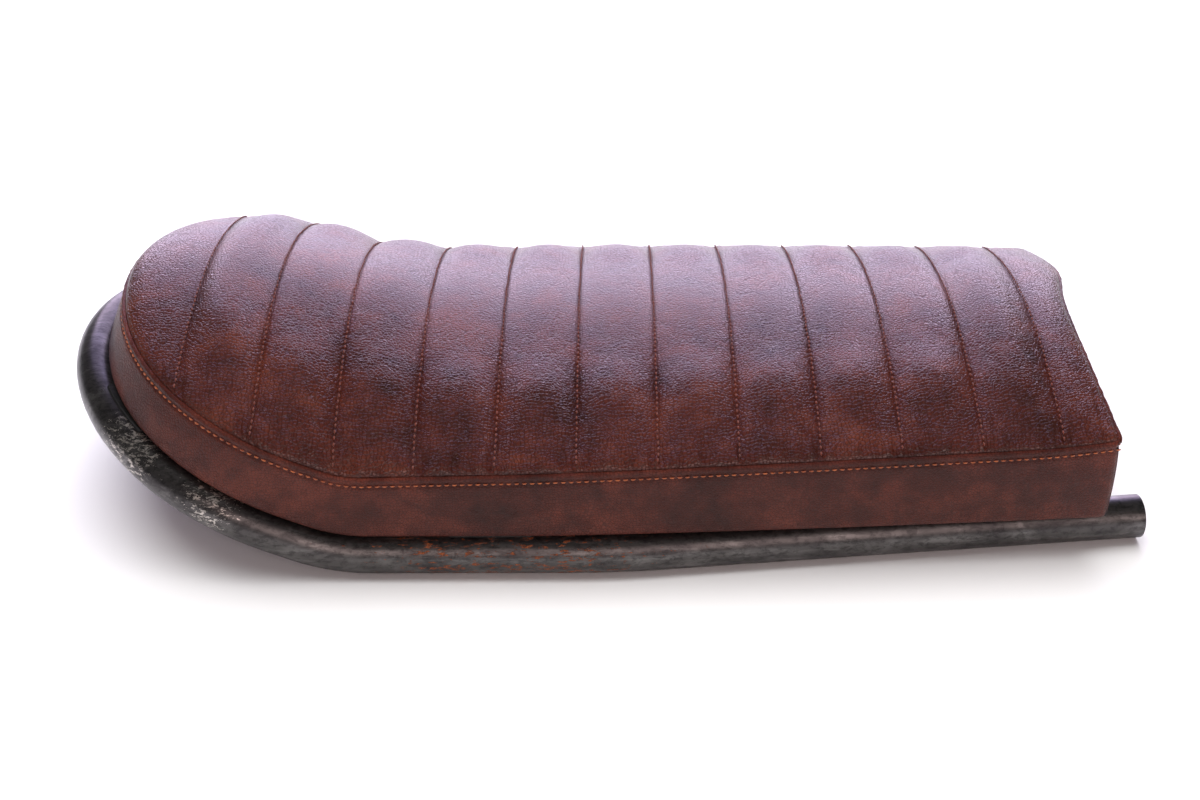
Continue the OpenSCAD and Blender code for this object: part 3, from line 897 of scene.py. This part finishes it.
def thread(name, dark, light):
    """Twisted sewing thread, with painted highlight on the ply tops and painted shade in the grooves
    of the twist.
    """
    look = Look(name)
    waves = look.add("TexWave", {"Vector": look.place(1 / 0.9), "Scale": 1.0, "Distortion": 1.0},
                     wave_type="BANDS", bands_direction="DIAGONAL")
    twist = waves.outputs["Fac"]
    # The twist bands paint highlight on the ply tops and shade in the grooves between them; the noise
    # adds the thread's own uneven tone.
    tone = look.total((twist, 0.35), (look.noise(5.0, 3.0), 1))
    colour = look.ramp(tone, [(0.4, dark), (0.85, light)])
    return look.finish(colour, 0.6, look.bump(twist, 0.12), Sheen_Weight=0.3)


def patches(look, pattern, where, rare, common):
    """1 where a fine pattern passes a limit, which falls from rare to common as where rises."""
    limit = look.span(where, 0.0, 1.0, rare, common)
    return look.span(look.math("SUBTRACT", pattern, limit), 0.0, 0.03)


def raw_steel():
    """Unpainted tube: mottled mill scale, rust specks low down, bare metal round the bend."""
    look = Look("raw_steel_tube")
    scale = look.noise(26.0, 6.0, 0.6, 0.6)
    streak = look.noise(5.0, 5.0, 0.6, 0.3, (0.1, 1, 1))
    mottle = look.noise(2.6, 6.0, 0.75, 0.4, (0.5, 1, 1))
    colour = look.ramp(scale, [(0.3, "#413e3f"), (0.5, "#53504f"), (0.7, "#686564")])
    colour = look.mix(look.span(streak, 0.5, 0.68, 0.0, 0.35), colour, "#8b8886")
    colour = look.mix(look.span(mottle, 0.47, 0.6, 0.0, 0.55), colour, "#262425")

    speck = look.noise(1.7, 4.0, 0.75, 0.0, (0.3, 1, 1))
    elsewhere = look.span(look.noise(70.0, 2.0), 0.5, 0.7, 0.0, 0.5)
    rusty = look.math("MAXIMUM", look.near(RUST_SPOT, 40, 120), elsewhere)
    rust = patches(look, speck, rusty, 0.76, 0.56)
    rust_colour = look.ramp(look.noise(0.9, 3.0), [(0.3, "#46200f"), (0.7, "#9a5026")])
    colour = look.mix(rust, colour, rust_colour)

    scratch = look.noise(1.5, 6.0, 0.8, 0.5, (0.35, 0.6, 1))
    rubbed = look.math("MAXIMUM", look.near(UPPER_WEAR, 14, 42), look.near(LOWER_WEAR, 8, 36))
    colour = look.mix(patches(look, scratch, rubbed, 0.78, 0.53), colour, "#c4bcb4")

    rough = look.total((look.span(scale, 0.3, 0.7, 0.4, 0.27), 1), (rust, 0.35))
    height = look.total((scale, 0.5), (rust, 0.5), (look.noise(0.8, 3.0), 0.18))
    metal_share = look.math("SUBTRACT", 0.9, look.math("MULTIPLY", rust, 0.8))
    look.feed(look.shader.inputs["Metallic"], metal_share)
    return look.finish(colour, rough, look.bump(height, 0.18))


def metal(name, dark, light, rough, size=6.0):
    """Bare or plated metal with a slightly uneven surface."""
    look = Look(name)
    tone = look.noise(size, 5.0, 0.6)
    colour = look.ramp(tone, [(0.35, dark), (0.65, light)])
    height = look.total((tone, 0.5), (look.noise(0.7, 3.0), 0.3))
    return look.finish(colour, look.span(tone, 0.3, 0.7, rough, rough + 0.14),
                       look.bump(height, 0.08), Metallic=1.0)


def matt(name, dark, light, rough, size, depth):
    """Rubber, paint, foam and tape: a mottled, finely grained surface."""
    look = Look(name)
    tone = look.noise(size * 6, 4.0, 0.6)
    grain = look.cells(look.place(1 / size))
    colour = look.ramp(tone, [(0.35, dark), (0.65, light)])
    height = look.total((grain, 1), (tone, 0.5))
    return look.finish(colour, look.span(grain, 0.0, 1.0, rough - 0.08, rough + 0.05),
                       look.bump(height, depth))


def dress(node, material):
    """Give a carried-over CAD node its material."""
    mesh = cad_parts[node].data
    mesh.materials.clear()
    mesh.materials.append(material)


def make_materials():
    """Every material of the part, by the name of what it is on."""
    top = leather("top_leather_brown", "#2b100a", "#451a11", "#5e2a1a", 1.8, 0.34, 0.24, 0.42)
    band = leather("band_leather_brown", "#2f120d", "#4a2018", "#653024", 1.5, 0.3, 0.34, 0.2)
    return {
        "top": top,
        "band": band,
        "groove": thread("groove_thread_brick", "#4c190c", "#7e3219"),
        "edge": thread("edge_thread_orange", "#8a3414", "#e07a3e"),
        "tube": raw_steel(),
        "weld": metal("weld_bead", "#3a3733", "#6a645c", 0.38, 2.5),
        "zinc": metal("zinc_plate", "#9a9c9c", "#c9cbc8", 0.26, 3.0),
        "pan": matt("pan_black_paint", "#0d0d0e", "#1c1c1e", 0.42, 0.8, 0.05),
        "rubber": matt("black_rubber", "#0f0f0f", "#1d1d1c", 0.62, 0.6, 0.05),
        "core": matt("firm_foam", "#c9b98a", "#e0d3a8", 0.85, 0.9, 0.3),
        "comfort": matt("comfort_foam_yellow", "#e2d7b4", "#f3ead0", 0.85, 1.1, 0.35),
        "padding": matt("padding_white", "#dcdad4", "#f2f1ec", 0.9, 0.7, 0.3),
        "tape": matt("seam_tape_black", "#101010", "#242424", 0.8, 0.5, 0.12),
    }


def dress_cad(looks):
    """Materials of the nodes whose CAD shape stays, and the fill of the soft ones."""
    for name in ("hoop_tube", "front_left_tab", "front_right_tab", "rear_left_tab", "rear_right_tab"):
        dress(name, looks["tube"])
    for name in ("spacer_sleeves", "stud_washers", "stud_nuts", "pan_studs", "stud_plates",
                 "plate_rivets", "hem_rivets"):
        dress(name, looks["zinc"])
    for name in ("tab_grommets", "pan_edge_trim", "rail_pads"):
        dress(name, looks["rubber"])
    dress("tab_welds", looks["weld"])
    dress("seat_pan", looks["pan"])
    dress("foam_core", looks["core"])
    dress("comfort_foam", looks["comfort"])
    dress("quilt_padding", looks["padding"])
    dress("seam_tape", looks["tape"])


# ---- Stage ----


def make_floor():
    """A plain pale floor just under the part."""
    size = 6.0
    mesh = bpy.data.meshes.new("floor")
    low = cad_low.z - 0.0005
    mesh.from_pydata([(-size, -size, low), (size, -size, low), (size, size, low), (-size, size, low)],
                     [], [(0, 1, 2, 3)])
    floor = bpy.data.objects.new("floor", mesh)
    bpy.context.collection.objects.link(floor)
    look = Look("pale_floor")
    tone = look.noise(400.0, 2.0)
    look.finish(look.ramp(tone, [(0.3, "#f4f4f5"), (0.7, "#fafafa")]), 0.9, Specular_IOR_Level=0.1)
    mesh.materials.append(look.material)


def make_light(name, place_at, aim, size, power, colour):
    """A rectangular area light that faces aim."""
    data = bpy.data.lights.new(name, "AREA")
    data.shape = "RECTANGLE"
    data.size, data.size_y = size
    data.energy = power
    data.color = colour
    light = bpy.data.objects.new(name, data)
    bpy.context.collection.objects.link(light)
    light.location = place_at
    light.rotation_mode = "QUATERNION"
    light.rotation_quaternion = (Vector(aim) - Vector(place_at)).to_track_quat("-Z", "Y")
    return light


def make_lights():
    """Soft light from above, a weak warm fill in front and violet light from behind."""
    world = bpy.data.worlds.new("studio")
    world.use_nodes = True
    background = world.node_tree.nodes["Background"]
    background.inputs["Color"].default_value = (1.0, 1.0, 1.0, 1.0)
    background.inputs["Strength"].default_value = 0.12
    bpy.context.scene.world = world
    aim = (0.0, 0.0, 0.05)
    top = make_light("top_softbox", (-0.1, 0.2, 2.0), aim, (2.4, 2.0), 62.0, (1.0, 1.0, 1.0))
    make_light("front_fill", (0.4, -1.9, 1.0), aim, (1.8, 1.0), 15.0, (1.0, 0.8, 0.78))
    top.visible_glossy = False
    make_light("back_wall", (0.0, 2.0, 0.55), aim, (2.6, 1.1), 41.0, (0.86, 0.72, 1.0))
    make_light("high_back", (-0.1, 1.7, 1.45), aim, (2.6, 0.7), 14.0, (0.62, 0.55, 1.0))


# Place in metres, angles in radians, lens in millimetres
CAMERA_PLACE = (0.0071, -0.7702, 0.5079)
CAMERA_YAW = -0.0089
CAMERA_PITCH = 0.5566
CAMERA_ROLL = -0.0073
CAMERA_LENS = 49.84


def make_camera():
    """A camera that looks from the right, with the front of the seat at the right."""
    data = bpy.data.cameras.new("camera")
    data.lens = CAMERA_LENS
    data.sensor_width = 36.0
    data.clip_start = 0.01
    camera = bpy.data.objects.new("camera", data)
    bpy.context.collection.objects.link(camera)
    forward = Vector((math.sin(CAMERA_YAW) * math.cos(CAMERA_PITCH),
                      math.cos(CAMERA_YAW) * math.cos(CAMERA_PITCH), -math.sin(CAMERA_PITCH)))
    level = Vector((math.cos(CAMERA_YAW), -math.sin(CAMERA_YAW), 0))
    upright = level.cross(forward)
    right = math.cos(CAMERA_ROLL) * level + math.sin(CAMERA_ROLL) * upright
    up = -math.sin(CAMERA_ROLL) * level + math.cos(CAMERA_ROLL) * upright
    turn = Matrix((right, up, -forward)).transposed().to_4x4()
    camera.matrix_world = Matrix.Translation(CAMERA_PLACE) @ turn
    bpy.context.scene.camera = camera


def paint(piece, material):
    """Give a new piece its material."""
    piece.data.materials.append(material)


make_floor()
make_camera()
make_lights()
looks = make_materials()
dress_cad(looks)
paint(make_top_panel(), looks["top"])
paint(make_side_band(), looks["band"])
paint(make_front_band(), looks["band"])
paint(make_channel_stitches(), looks["groove"])
paint(make_edge_stitches(), looks["edge"])
bpy.context.scene.view_settings.view_transform = "Standard"
